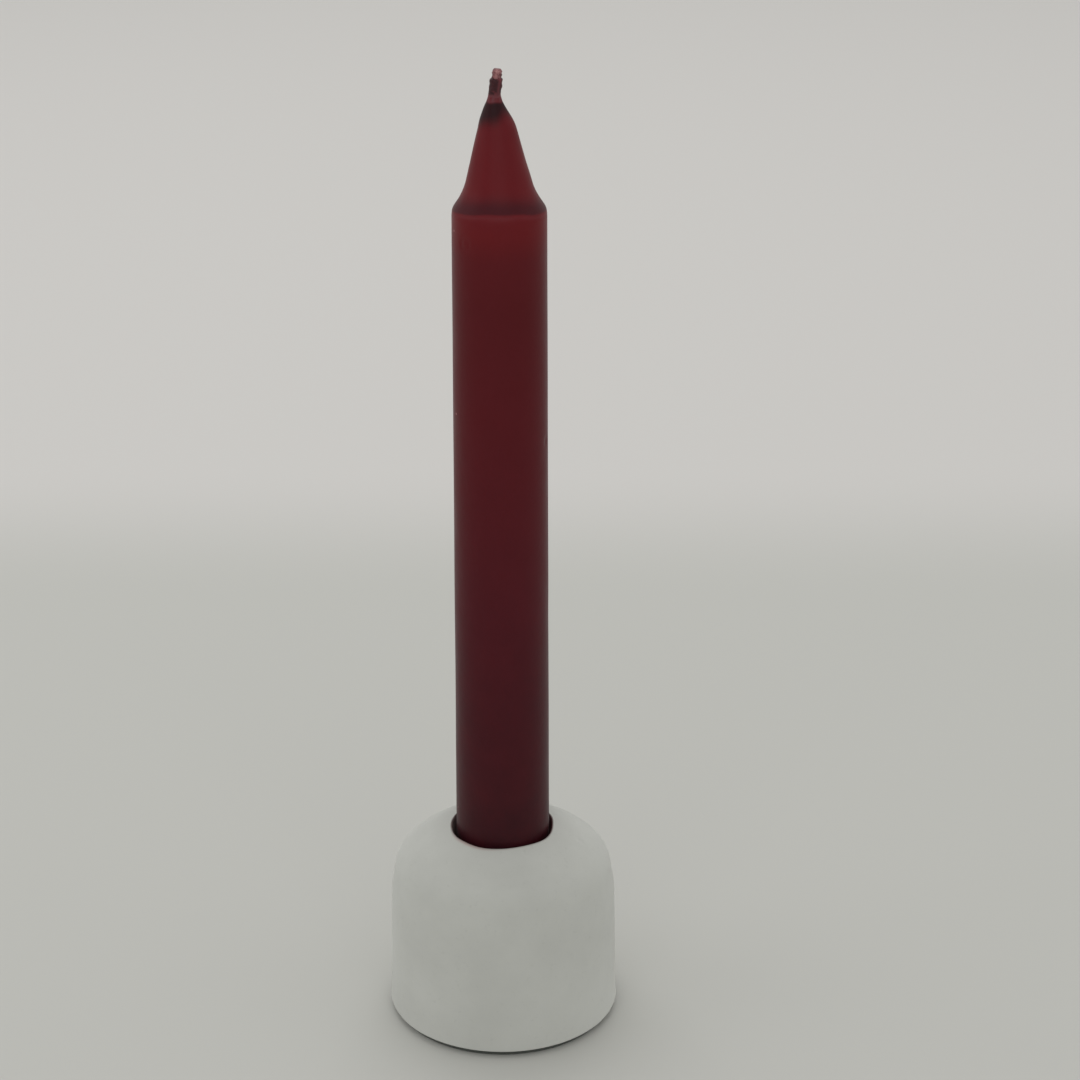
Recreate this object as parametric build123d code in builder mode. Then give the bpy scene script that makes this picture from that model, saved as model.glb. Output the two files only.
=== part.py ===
"""A dipped household candle standing in a squat cast holder, in millimetres.

The origin is on the surface that the holder stands on, at the middle of its pad, and +Z is up.
Six separate pieces: the holder and its pad stay put, and the candle lifts out of the socket.
"""
from build123d import *
from math import cos, radians, sin, sqrt
import os

# The holder's casting
holder_height = 46.0         # lower edge of the casting to the rim of the socket
holder_foot_radius = 27.2    # at the lower edge
wall_draft = 1.2             # degrees that the wall leans in, so that it leaves its mould
crown_radius = 28.0          # arc of the domed top, from the rim to the shoulder
crown_tilt = 15.5            # degrees that the dome already slopes at the rim
shoulder_round = 12.0        # blend between the wall and the dome
foot_round = 1.2             # lower outer edge
rim_round = 0.8              # lip of the socket

# The pad under the holder
pad_thickness = 1.5
pad_inset = 1.4              # from the foot's edge in to the pad's edge
pad_edge = 0.2               # broken edges of the pad

# The socket
socket_depth = 26.0
foot_clearance = 0.1         # round the candle's foot, which the taper centres
mouth_clearance = 1.0        # more than the foot radius, at the rim
socket_floor_round = 0.8

# The candle
candle_length = 200.0        # foot to the top of the wax
candle_foot_radius = 11.0
candle_top_radius = 10.33    # at the shoulder, because the pressed rod is drawn slightly tapered
point_height = 24.7          # the shoulder's corner to the top of the wax
flare_drop = 20.4            # where the steep shoulder turns into the cone, below the top
flare_radius = 7.62
nose_drop = 5.3              # where the cone closes in on the wick, below the top
nose_radius = 3.75
shoulder_bend = 4.0          # arcs that soften the three corners of the point
flare_bend = 9.0
nose_bend = 10.0
foot_bevel = 0.8             # trimmed edge of the foot
coat_thickness = 1.2         # dyed wax over the pale core
neck_wall = 0.3              # dyed wax round the wick where the point ends

# The wick and the collar of wax left on it
wick_radius = 1.1
wick_stub = 6.0              # what stands above the top of the wax
wick_end_round = 0.4
collar_wall = 0.26
collar_rise = 0.3            # bare ring between the point and the collar
collar_length = 3.7
collar_round = 0.1

# Heights that follow from the sizes above
holder_base = pad_thickness
holder_top = holder_base + holder_height
socket_floor = holder_top - socket_depth
candle_top = socket_floor + candle_length
pad_radius = holder_foot_radius - pad_inset
socket_foot_radius = candle_foot_radius + foot_clearance
socket_mouth_radius = candle_foot_radius + mouth_clearance
neck_radius = wick_radius + neck_wall

# The wall's line runs from the foot's corner at the draft angle, and meets the dome's circle here
crown_centre_x = socket_mouth_radius - crown_radius * sin(radians(crown_tilt))
crown_centre_z = holder_top - crown_radius * cos(radians(crown_tilt))
wall_lean = Vector(-sin(radians(wall_draft)), cos(radians(wall_draft)))
from_centre = Vector(holder_foot_radius - crown_centre_x, holder_base - crown_centre_z)
along_wall = from_centre.dot(wall_lean)
wall_run = -along_wall + sqrt(along_wall**2 - from_centre.dot(from_centre) + crown_radius**2)
shoulder_corner = Vector(holder_foot_radius, holder_base) + wall_lean * wall_run

os.makedirs("parts", exist_ok=True)


def crown_height(x):
    """The dome's height at a distance x from the middle."""
    return crown_centre_z + sqrt(crown_radius**2 - (x - crown_centre_x) ** 2)


def shaft_radius(z):
    """The candle's outer radius at a height on its evenly tapered shaft."""
    taper = (candle_foot_radius - candle_top_radius) / (candle_length - point_height)
    return candle_foot_radius - taper * (z - socket_floor)


# Holder: a turned outline, from the foot up the wall and over the dome to the rim
with BuildPart() as holder:
    with BuildSketch(Plane.XZ) as casting:
        with BuildLine():
            middle_of_dome = (socket_mouth_radius + shoulder_corner.X) / 2
            Polyline(
                (0, holder_top),
                (0, holder_base),
                (holder_foot_radius, holder_base),
                (shoulder_corner.X, shoulder_corner.Y),
            )
            ThreePointArc(
                (shoulder_corner.X, shoulder_corner.Y),
                (middle_of_dome, crown_height(middle_of_dome)),
                (socket_mouth_radius, holder_top),
            )
            Line((socket_mouth_radius, holder_top), (0, holder_top))
        make_face()
        fillet(casting.vertices().sort_by_distance((shoulder_corner.X, shoulder_corner.Y))[0], shoulder_round)
        fillet(casting.vertices().sort_by_distance((holder_foot_radius, holder_base))[0], foot_round)
    revolve(axis=Axis.Z)
    # The socket narrows towards its floor, so a candle's foot wedges upright
    with BuildSketch(Plane.XZ) as socket:
        with BuildLine():
            Polyline(
                (0, socket_floor),
                (socket_foot_radius, socket_floor),
                (socket_mouth_radius, holder_top),
                (0, holder_top),
                close=True,
            )
        make_face()
        fillet(socket.vertices().sort_by_distance((socket_foot_radius, socket_floor))[0], socket_floor_round)
    revolve(axis=Axis.Z, mode=Mode.SUBTRACT)
    rim = holder.edges().filter_by(GeomType.CIRCLE).group_by(Axis.Z)[-1]
    fillet(rim, rim_round)
holder.part.label = "holder"
export_step(holder.part, "parts/holder.step")

# Base pad: a disc glued under the holder, inset from its edge
with BuildPart() as base_pad:
    with BuildSketch():
        Circle(pad_radius)
    extrude(amount=pad_thickness)
    fillet(base_pad.edges().filter_by(GeomType.CIRCLE), pad_edge)
base_pad.part.label = "base_pad"
export_step(base_pad.part, "parts/base_pad.step")


def candle_outline(foot):
    """The candle's outline on one side, open at the axis: foot, tapered shaft, shoulder, cone and nose."""
    Line((0, foot), (shaft_radius(foot), foot))
    FilletPolyline(
        (shaft_radius(foot), foot),
        (candle_top_radius, candle_top - point_height),
        (flare_radius, candle_top - flare_drop),
        (nose_radius, candle_top - nose_drop),
        (neck_radius, candle_top),
        radius=[shoulder_bend, flare_bend, nose_bend],
    )
    Line((neck_radius, candle_top), (0, candle_top))


# The core's half outline: the candle's, one coat thickness in all round, and cut flat at the foot
with BuildSketch(Plane.XZ) as core_half:
    with BuildLine():
        candle_outline(socket_floor - coat_thickness)
        mirror(about=Plane.YZ)
    make_face()
    offset(amount=-coat_thickness)
    split(bisect_by=Plane.YZ, keep=Keep.TOP)

# Candle core: the pressed rod of pale wax, bored through for the wick
with BuildPart() as candle_core:
    add(core_half.sketch)
    revolve(axis=Axis.Z)
    with BuildSketch(Plane.XY.offset(socket_floor)):
        Circle(wick_radius)
    extrude(amount=candle_length, mode=Mode.SUBTRACT)
candle_core.part.label = "candle_core"
export_step(candle_core.part, "parts/candle_core.step")

# Candle coat: the dyed wax over the core, closed round the wick at the nose and open at the foot
with BuildPart() as candle_coat:
    with BuildSketch(Plane.XZ) as candle_half:
        with BuildLine():
            candle_outline(socket_floor)
            Line((0, candle_top), (0, socket_floor))
        make_face()
        chamfer(candle_half.vertices().sort_by_distance((candle_foot_radius, socket_floor))[0], foot_bevel)
    revolve(axis=Axis.Z)
    add(core_half.sketch)
    revolve(axis=Axis.Z, mode=Mode.SUBTRACT)
    with BuildSketch(Plane.XY.offset(socket_floor)):
        Circle(wick_radius)
    extrude(amount=candle_length, mode=Mode.SUBTRACT)
candle_coat.part.label = "candle_coat"
export_step(candle_coat.part, "parts/candle_coat.step")

# Wick: the braided cord from the foot's face to the end of the stub
with BuildPart() as wick:
    with BuildSketch(Plane.XY.offset(socket_floor)):
        Circle(wick_radius)
    extrude(amount=candle_length + wick_stub)
    fillet(wick.edges().filter_by(GeomType.CIRCLE).sort_by(Axis.Z)[-1], wick_end_round)
wick.part.label = "wick"
export_step(wick.part, "parts/wick.step")

# Wick wax: the collar of dyed wax round the stub
with BuildPart() as wick_wax:
    with BuildSketch(Plane.XY.offset(candle_top + collar_rise)):
        Circle(wick_radius + collar_wall)
        Circle(wick_radius, mode=Mode.SUBTRACT)
    extrude(amount=collar_length)
    outer_edges = wick_wax.edges().filter_by(GeomType.CIRCLE).group_by(SortBy.RADIUS)[-1]
    fillet(outer_edges, collar_round)
wick_wax.part.label = "wick_wax"
export_step(wick_wax.part, "parts/wick_wax.step")
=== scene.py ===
import math

import bpy
import numpy as np
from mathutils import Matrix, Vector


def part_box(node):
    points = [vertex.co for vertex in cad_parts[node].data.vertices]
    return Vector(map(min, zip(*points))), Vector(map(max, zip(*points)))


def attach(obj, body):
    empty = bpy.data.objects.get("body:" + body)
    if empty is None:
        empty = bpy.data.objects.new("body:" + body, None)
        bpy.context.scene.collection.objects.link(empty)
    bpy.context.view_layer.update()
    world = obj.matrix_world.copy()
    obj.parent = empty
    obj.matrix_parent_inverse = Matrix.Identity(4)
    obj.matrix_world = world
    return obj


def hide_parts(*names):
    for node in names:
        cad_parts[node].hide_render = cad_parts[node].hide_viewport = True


# A dipped red candle standing in a squat cast plaster holder.
# Everything is in metres, up is +Z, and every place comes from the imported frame.

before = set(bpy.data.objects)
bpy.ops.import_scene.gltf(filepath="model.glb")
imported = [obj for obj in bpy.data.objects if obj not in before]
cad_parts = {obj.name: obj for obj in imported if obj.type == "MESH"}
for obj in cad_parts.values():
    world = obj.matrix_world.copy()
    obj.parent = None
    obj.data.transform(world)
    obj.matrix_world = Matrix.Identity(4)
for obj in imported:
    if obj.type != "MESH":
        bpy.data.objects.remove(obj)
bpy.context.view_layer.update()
mm = 0.001
print("stage 1: frame loaded, nodes", sorted(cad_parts))

holderLow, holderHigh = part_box("holder")
padLow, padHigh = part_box("base_pad")
coatLow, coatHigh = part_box("candle_coat")
_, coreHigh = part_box("candle_core")
wickLow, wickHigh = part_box("wick")
_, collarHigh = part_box("wick_wax")

footZ = coatLow.z  # the candle's foot, which is also the socket's floor
topZ = coatHigh.z  # where the wax of the point ends on the wick
coatThick = coatHigh.x - coreHigh.x


def softOutline(corners, rounds, spacings):
    # Straight runs with a touching arc at each inner corner. An arc of radius q at a corner of inner angle w
    # starts q / tan(w/2) from the corner, and its centre is q / sin(w/2) along the bisector.
    corners = np.array(corners, float)
    pieces = [corners[:1]]
    startOfRun = corners[0]
    for i in range(1, len(corners)):
        endOfRun = corners[i]
        arc = None
        if i < len(corners) - 1 and rounds[i - 1] > 0:
            back = corners[i - 1] - corners[i]
            ahead = corners[i + 1] - corners[i]
            back = back / np.linalg.norm(back)
            ahead = ahead / np.linalg.norm(ahead)
            inner = np.arccos(np.clip(back @ ahead, -1, 1))
            reach = rounds[i - 1] / np.tan(inner / 2)
            bisector = (back + ahead) / np.linalg.norm(back + ahead)
            centre = corners[i] + bisector * rounds[i - 1] / np.sin(inner / 2)
            first, last = corners[i] + back * reach - centre, corners[i] + ahead * reach - centre
            turn = np.pi - inner
            count = max(4, int(np.ceil(rounds[i - 1] * turn / min(spacings[i - 1], spacings[i]))))
            s = np.linspace(0, 1, count + 1)[:, None]
            arc = centre + (np.sin((1 - s) * turn) * first + np.sin(s * turn) * last) / np.sin(turn)
            endOfRun = arc[0]
        length = np.linalg.norm(endOfRun - startOfRun)
        count = max(1, int(np.ceil(length / spacings[i - 1])))
        t = np.linspace(0, 1, count + 1)[1:, None]
        pieces.append(startOfRun + (endOfRun - startOfRun) * t)
        if arc is not None:
            pieces.append(arc[1:])
            endOfRun = arc[-1]
        startOfRun = endOfRun
    return np.concatenate(pieces)


def outwardOf(outline):
    # The unit normal at each point of an outline that climbs the outside: its direction turned a quarter
    # to the right.
    along = np.gradient(outline, axis=0)
    along /= np.linalg.norm(along, axis=1, keepdims=True)
    return np.stack([along[:, 1], -along[:, 0]], axis=1)


def smoothStep(low, high, value):
    # 0 below low, 1 above high, and 3t^2 - 2t^3 between them.
    t = np.clip((value - low) / (high - low), 0, 1)
    return t * t * (3 - 2 * t)


def hump(value):
    # A soft hump of height 1 at zero: e to the minus square.
    return np.exp(-(value**2))


def ripples(angle, height, seed, waves, turns, wavelength):
    # Soft unevenness between -1 and 1: a mean of cosines of k * angle + m * height with seeded k, m and
    # phase, so that it closes on itself round the piece. The dictionaries give the last four: the seed,
    # how many waves, the most turns that k makes, and the wavelength along the height.
    draw = np.random.default_rng(seed)
    total = np.zeros(np.broadcast(angle, height).shape)
    for _ in range(waves):
        k = draw.integers(0, turns + 1)
        m = draw.normal() * 2 * np.pi / wavelength
        total += np.cos(k * angle + m * height + draw.uniform(0, 2 * np.pi))
    return total / waves


def fullTurn(count):
    # Evenly spaced angles round the axis, as a row.
    return np.linspace(0, 2 * np.pi, count, endpoint=False)[None, :]


def turnFrom(angle, bearing):
    # The signed turn from a bearing in degrees to each angle, between minus and plus half a turn.
    return np.mod(angle - math.radians(bearing) + np.pi, 2 * np.pi) - np.pi


def putMesh(name, points, faces, attributes=None):
    # A smooth-shaded mesh object at the origin, with one number for each point under each attribute's name.
    mesh = bpy.data.meshes.new(name)
    mesh.from_pydata(points.tolist(), [], faces)
    mesh.update()
    for label, values in (attributes or {}).items():
        layer = mesh.attributes.new(label, "FLOAT", "POINT")
        layer.data.foreach_set("value", np.asarray(values, np.float32).ravel())
    mesh.polygons.foreach_set("use_smooth", np.full(len(mesh.polygons), True))
    piece = bpy.data.objects.new(name, mesh)
    bpy.context.scene.collection.objects.link(piece)
    return piece


def ringFaces(rows, around, closeRows, start=0):
    # Quads between neighbouring rings of a grid that closes round each ring, facing out when rings climb.
    row = np.arange(rows if closeRows else rows - 1)[:, None]
    column = np.arange(around)[None, :]
    nextRow = (row + 1) % rows
    nextColumn = (column + 1) % around
    quads = np.stack(
        [
            row * around + column,
            row * around + nextColumn,
            nextRow * around + nextColumn,
            nextRow * around + column,
        ],
        axis=-1,
    )
    return (quads.reshape(-1, 4) + start).tolist()


def capFaces(rows, around, first, last, start=0):
    # Fans that close the first ring on point number first and the last ring on point number last.
    here = np.arange(around)
    there = (here + 1) % around
    top = start + (rows - 1) * around
    under = np.stack([np.full(around, first), start + there, start + here], axis=1)
    over = np.stack([np.full(around, last), top + here, top + there], axis=1)
    return under.tolist() + over.tolist()


def placeRings(r, z, angle, leanX=0, leanY=0):
    # A ring of radius r at each height z, round the axis or round a middle line that leans off it.
    return np.stack([r * np.cos(angle) + leanX, r * np.sin(angle) + leanY, z + 0 * angle], axis=-1)


def turnedPiece(name, rings, closeRows=False, poles=False, attributes=None):
    # rings[row, column] is a point; with poles, the first and last ring close on their own middle points.
    rows, around, _ = rings.shape
    points = rings.reshape(-1, 3)
    faces = ringFaces(rows, around, closeRows)
    values = {label: grid.reshape(-1) for label, grid in (attributes or {}).items()}
    if poles:
        ends = np.stack([rings[0].mean(axis=0), rings[-1].mean(axis=0)])
        points = np.concatenate([points, ends])
        faces += capFaces(rows, around, rows * around, rows * around + 1)
        values = {label: np.append(v, [v[0], v[-1]]) for label, v in values.items()}
    return putMesh(name, points, faces, values)


# The holder is one turned surface, from under the foot, over the dome and down into the socket.
holderShape = {
    "height": 46.0 * mm,  # foot to the rim's sharp corner
    "wall": ((26.5, 30.0), (25.2, 38.2), (21.0, 41.6), (17.4, 43.9)),  # radius and height above the foot, mm
    "wallRounds": (30.0, 8.0, 12.0, 14.0),  # mm, at those corners
    "footRound": 0.7 * mm,
    "sideClear": 0.01 * mm,  # kept inside the casting's widest radius
    "mouthRadius": 11.9 * mm,
    "lipRound": 0.45 * mm,
    "socketFootRadius": 11.1 * mm,
    "floorRound": 0.8 * mm,
    "spacing": 0.46 * mm,  # between rings
    "around": 330,  # points in a ring
    "footFade": 3.0 * mm,  # over which the unevenness sets in above the foot
    "sag": 0.07 * mm,  # long unevenness of the cast
    "sagRipples": (3, 14, 5, 60 * mm),
    "grain": 0.02 * mm,  # short unevenness
    "grainRipples": (4, 24, 40, 5 * mm),
    "bubbles": 70,
    "bubbleSeed": 11,
    "bubbleClear": (2.0 * mm, 1.5 * mm),  # kept free of them at the foot and at the rim
    "bubbleRadius": (0.35 * mm, 0.8 * mm),
    "bubbleShare": (0.4, 1.0),  # of that radius, so that small ones are commoner
    "bubbleDepth": (0.05 * mm, 0.16 * mm),
    "markFall": 1.5,  # how steeply bubbles and dents fall off, at their radius
    # bearing, distance along the outline in from the rim, radius and depth of dents from use, degrees and mm
    "dents": ((252, 34.5, 0.9, 0.16), (292, 2.4, 0.8, 0.14), (350, 6.6, 1.0, 0.14), (205, 12.0, 1.2, 0.12)),
    # bearing, push and half width of the mouth's soft corners and flats, degrees, mm and degrees
    "mouthBends": (
        (210, 0.30, 16),
        (246, 0.42, 19),
        (292, -0.30, 20),
        (322, 0.20, 15),
        (358, -0.45, 18),
        (75, 0.25, 16),
        (140, 0.15, 14),
    ),
    "mouthReach": 2.2 * mm,  # how far from the lip they fade
    "mouthDip": 0.16 * mm,  # how much lower the lip is in places
    "dipRipples": (8, 8, 7, 1),
    "socketShadeOver": 0.5 * mm,  # over which the painted shade inside the socket sets in at the lip
    "socketShadePatches": (0.9, 0.1, 3),  # its mean, how much it varies, and how many times round
    "smear": (232, 24, 0.45),  # bearing, half width and strength of red wax left on the lip, degrees
    "smearBand": (0.2 * mm, 0.4 * mm),  # how far outside the lip it lies, and its half width
}


def holderOutline(shape):
    # From the middle of the foot out, up the wall, in over the dome to the lip, and down to the middle of
    # the socket's floor, with an arc at each corner.
    base = holderLow.z
    corners = [
        (shape["spacing"], base),
        (holderHigh.x - shape["sideClear"], base),
        *[(radius * mm, base + height * mm) for radius, height in shape["wall"]],
        (shape["mouthRadius"], base + shape["height"]),
        (shape["socketFootRadius"], footZ),
        (shape["spacing"], footZ),
    ]
    wallRounds = [radius * mm for radius in shape["wallRounds"]]
    rounds = [shape["footRound"], *wallRounds, shape["lipRound"], shape["floorRound"]]
    # the flats under the foot and on the socket's floor are coarser, and the lip and the socket finer
    spacings = [shape["spacing"] * share for share in (3, 1, 1, 1, 1, 0.7, 0.7, 3)]
    return softOutline(corners, rounds, spacings)


def makeHolder(shape):
    # The outline turned about the axis. Each point then moves inwards along its normal by the sum of the
    # cast's unevenness and a soft hump for each bubble and dent, and the mouth is pushed out and in by
    # humps of the bearing that fade with distance from the lip.
    outline = holderOutline(shape)
    normals = outwardOf(outline)
    angle = fullTurn(shape["around"])
    radius, height = outline[:, :1], outline[:, 1:]
    run = np.concatenate([[0], np.cumsum(np.linalg.norm(np.diff(outline, axis=0), axis=1))])[:, None]
    rimRow = np.argmax(outline[:, 1])
    outside = (np.arange(len(outline))[:, None] < rimRow) * 1.0
    wall = outside * smoothStep(holderLow.z, holderLow.z + shape["footFade"], height)
    sink = shape["sag"] * (1 + ripples(angle, height, *shape["sagRipples"])) * wall
    sink = sink + shape["grain"] * (1 + ripples(angle, height, *shape["grainRipples"])) * wall
    draw = np.random.default_rng(shape["bubbleSeed"])
    clearLow, clearHigh = shape["bubbleClear"]
    marks = []
    for _ in range(shape["bubbles"]):
        where = draw.uniform(holderHigh.x + clearLow, run[rimRow, 0] - clearHigh)
        bearing = draw.uniform(0, 360)
        wide = draw.uniform(*shape["bubbleRadius"]) * draw.uniform(*shape["bubbleShare"])
        deep = draw.uniform(*shape["bubbleDepth"]) * wide / shape["bubbleRadius"][1]
        marks.append((where, bearing, wide, deep))
    for bearing, fromRim, wide, deep in shape["dents"]:
        marks.append((run[rimRow, 0] - fromRim * mm, bearing, wide * mm, deep * mm))
    for where, bearing, wide, deep in marks:
        across = turnFrom(angle, bearing) * radius
        away = (across**2 + (run - where) ** 2) / wide**2
        sink = sink + deep * np.exp(-shape["markFall"] * away) * outside
    lip = [shape["mouthRadius"], holderLow.z + shape["height"]]
    toMouth = hump(np.linalg.norm(outline - lip, axis=1)[:, None] / shape["mouthReach"])
    bends = 0
    for bearing, push, wide in shape["mouthBends"]:
        bends = bends + push * mm * hump(turnFrom(angle, bearing) / math.radians(wide))
    dip = shape["mouthDip"] * (1 + ripples(angle, 0 * height, *shape["dipRipples"])) * toMouth
    r = radius - sink * normals[:, :1] + bends * toMouth
    z = height - sink * normals[:, 1:] - dip * outside
    # the socket is darkened below the lip by painted shade, and wax is smeared on one side of the lip itself
    pastRim = run - run[rimRow, 0]
    mean, varies, patches = shape["socketShadePatches"]
    paintedSocketShade = smoothStep(-0.5, 0.5, pastRim / shape["socketShadeOver"]) * (mean + varies * np.cos(patches * angle))
    bearing, wide, strength = shape["smear"]
    outsideLip, halfWidth = shape["smearBand"]
    smeared = strength * hump((pastRim + outsideLip) / halfWidth)
    smeared = smeared * hump(turnFrom(angle, bearing) / math.radians(wide))
    fields = {"paintedSocketShade": paintedSocketShade, "smeared": smeared}
    return turnedPiece("holderBody", placeRings(r, z, angle), poles=True, attributes=fields)


holderBody = makeHolder(holderShape)
print("stage 2: holder cast,", len(holderBody.data.polygons), "faces")


# The pad is a felt disc, matted at its cut edge.
padShape = {
    "fluff": 0.12 * mm,  # how far tufts stand out at the side
    "press": 0.05 * mm,  # how far the faces are pressed in between tufts
    "edgeRound": 0.35 * mm,
    "tuftRipples": (21, 40, 90, 2.4 * mm),
    "around": 260,
    "spacing": 0.55 * mm,
    "sideSpacing": 0.2 * mm,
    # how far outwards the surface has turned, as a share, where the side's tufts start and are full
    "sideTurn": (0.3, 0.9),
}


def makePad(shape):
    # A turned flat disc with rounded edges. Its side stands out, and its faces sink in, by a fine ripple.
    wide = padHigh.x - shape["fluff"]
    narrow = shape["spacing"]
    corners = [(narrow, padLow.z), (wide, padLow.z), (wide, padHigh.z), (narrow, padHigh.z)]
    spacings = [shape["spacing"], shape["sideSpacing"], shape["spacing"]]
    outline = softOutline(corners, [shape["edgeRound"]] * 2, spacings)
    normals = outwardOf(outline)
    angle = fullTurn(shape["around"])
    run = np.arange(len(outline))[:, None] * shape["spacing"]
    matted = ripples(angle, run, *shape["tuftRipples"]) * 0.5 + 0.5
    side = smoothStep(*shape["sideTurn"], normals[:, :1])
    lift = shape["fluff"] * matted * side - shape["press"] * (1 - matted) * (1 - side)
    r = outline[:, :1] + lift * normals[:, :1]
    z = outline[:, 1:] + np.minimum(lift, 0) * normals[:, 1:]
    return turnedPiece("feltPad", placeRings(r, z, angle), poles=True)


feltPad = makePad(padShape)
print("stage 3: pad cut,", len(feltPad.data.polygons), "faces")


# The core and the coat share one outline and one middle line, which leans only in the drawn-out tip.
candleShape = {
    "footRadius": 11.0 * mm,
    "topRadius": 10.33 * mm,
    "pointHeight": 24.7 * mm,  # the shoulder's corner to the top of the wax
    "point": ((7.75, 20.8), (3.74, 5.3), (1.70, 1.1)),  # radius and distance below the top, mm
    "neckRadius": 1.38 * mm,
    "rounds": (4.8, 14.0, 10.0, 6.0),  # mm, at the shoulder and the point's corners
    "bevel": 0.75 * mm,
    "footFlat": 0.1 * mm,  # what is outlined of the foot, inside the bevel
    "footLevel": 0.01 * mm,  # up to which height a point counts as on the foot
    "bevelRounds": (0.1 * mm, 0.3 * mm),
    "bore": 1.13 * mm,
    "around": 164,
    "spacings": (0.2 * mm, 0.68 * mm, 0.32 * mm),  # between rings on the bevel, the shaft and the point
    # how the middle line goes to -X: from and to, in mm below the top, and how far, mm
    "leans": ((23.0, 7.0, -0.36), (7.5, 1.5, -0.56), (0.5, -5.5, 0.62)),
    "leanBack": 0.2 * mm,  # and to +Y at the top
    "leanBackOver": 12,  # starting this far below the top, mm
    "wave": 0.055 * mm,  # long bends in the skin
    "waveRipples": (31, 16, 3, 46 * mm),
    "waveInSocket": 0.3,  # the share of them that is left where the candle stands in the socket
    "socketFade": (27 * mm, 60 * mm),  # above the foot, where the full unevenness starts and is reached
    "runs": 0.022 * mm,  # where the dip ran down
    "runRipples": (32, 26, 14, 60 * mm),
    "wobble": 0.07 * mm,  # of the point
    "wobbleRipples": (33, 14, 4, 9 * mm),
    "wobbleFrom": (2, -4),  # below the shoulder's corner, where it starts and is full, mm
    "bead": (0.07 * mm, 0.1, 0.7),  # at the shoulder: height, then distance above the corner and width, mm
    # bearing, distance below the top, size and depth of marks from handling, degrees and mm
    "ringMark": (225, 30.5, 1.15, 0.13),
    "ringLine": 0.33,  # half width of the ring's line, as a share of its size
    "dents": ((343, 76.8, 0.9, 0.22), (20, 120.0, 4.0, 0.08)),
    # the lower edge of the painted shade band in the flare: distance above the corner, its bend and its
    # waviness, mm
    "band": (0.6, 0.6, 0.35),
    "bandRipples": (34, 9, 8, 1),
    "bandBlur": 0.2,  # how far its edge blurs each way, mm
    "bandFade": (0.9, 2.2),  # how far up it stays full and how fast it then fades, mm
    "bandAmount": 0.78,
    "paintedHighlightLine": (0.6, 0.3, 0.2),  # the painted highlight under the band's edge: distance and width, mm, and amount
    # how far down the painted shade at the point reaches at +X, how much further at -X, and its waviness, mm
    "tipShade": (2.9, 2.5, 0.8),
    "tipShadeRipples": (35, 6, 5, 1),
    "tipShadeFade": (1.4, 2.0),  # how far above and below its edge it fades, mm
    "tipShadeAmount": 0.92,
    "film": (1.25, 0.35),  # how far down the pale film reaches, and its waviness, mm
    "filmRipples": (36, 8, 6, 1),
    "filmBlur": 0.35,  # how far its edge blurs each way, mm
    "filmPatches": (0.8, 0.9),  # its mean, and how much it varies
    "patchRipples": (37, 12, 12, 5 * mm),
    "tipShadeBlur": 0.3,  # how far the start of the painted shade at the point, below the film, blurs each way, mm
}


def middleLine(height):
    # Each lean is a smooth step from nothing to its full offset between two heights, and they add up.
    below = (topZ - height) / mm
    x = sum(offset * smoothStep(-start, -end, -below) for start, end, offset in candleShape["leans"])
    return x * mm, candleShape["leanBack"] * smoothStep(-candleShape["leanBackOver"], 0, -below)


def candleOutline(shape):
    # From the foot's edge up the tapered shaft and in over the shoulder and the point to the wick, with an
    # arc at each corner.
    corners = [
        (shape["footRadius"] - shape["bevel"] - shape["footFlat"], footZ),
        (shape["footRadius"] - shape["bevel"], footZ),
        (shape["footRadius"], footZ + shape["bevel"]),
        (shape["topRadius"], topZ - shape["pointHeight"]),
        *[(radius * mm, topZ - drop * mm) for radius, drop in shape["point"]],
        (shape["neckRadius"], topZ),
    ]
    rounds = [*shape["bevelRounds"], *[radius * mm for radius in shape["rounds"]]]
    bevel, shaft, point = shape["spacings"]
    return softOutline(corners, rounds, [bevel, bevel, shaft] + [point] * 4)


def spotAt(angle, height, radius, bearing, below, wide):
    # Distance over the skin from a spot, in units of its width. below and wide are in mm.
    across = turnFrom(angle, bearing) * radius
    return np.sqrt(across**2 + (height - topZ + below * mm) ** 2) / (wide * mm)


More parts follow.
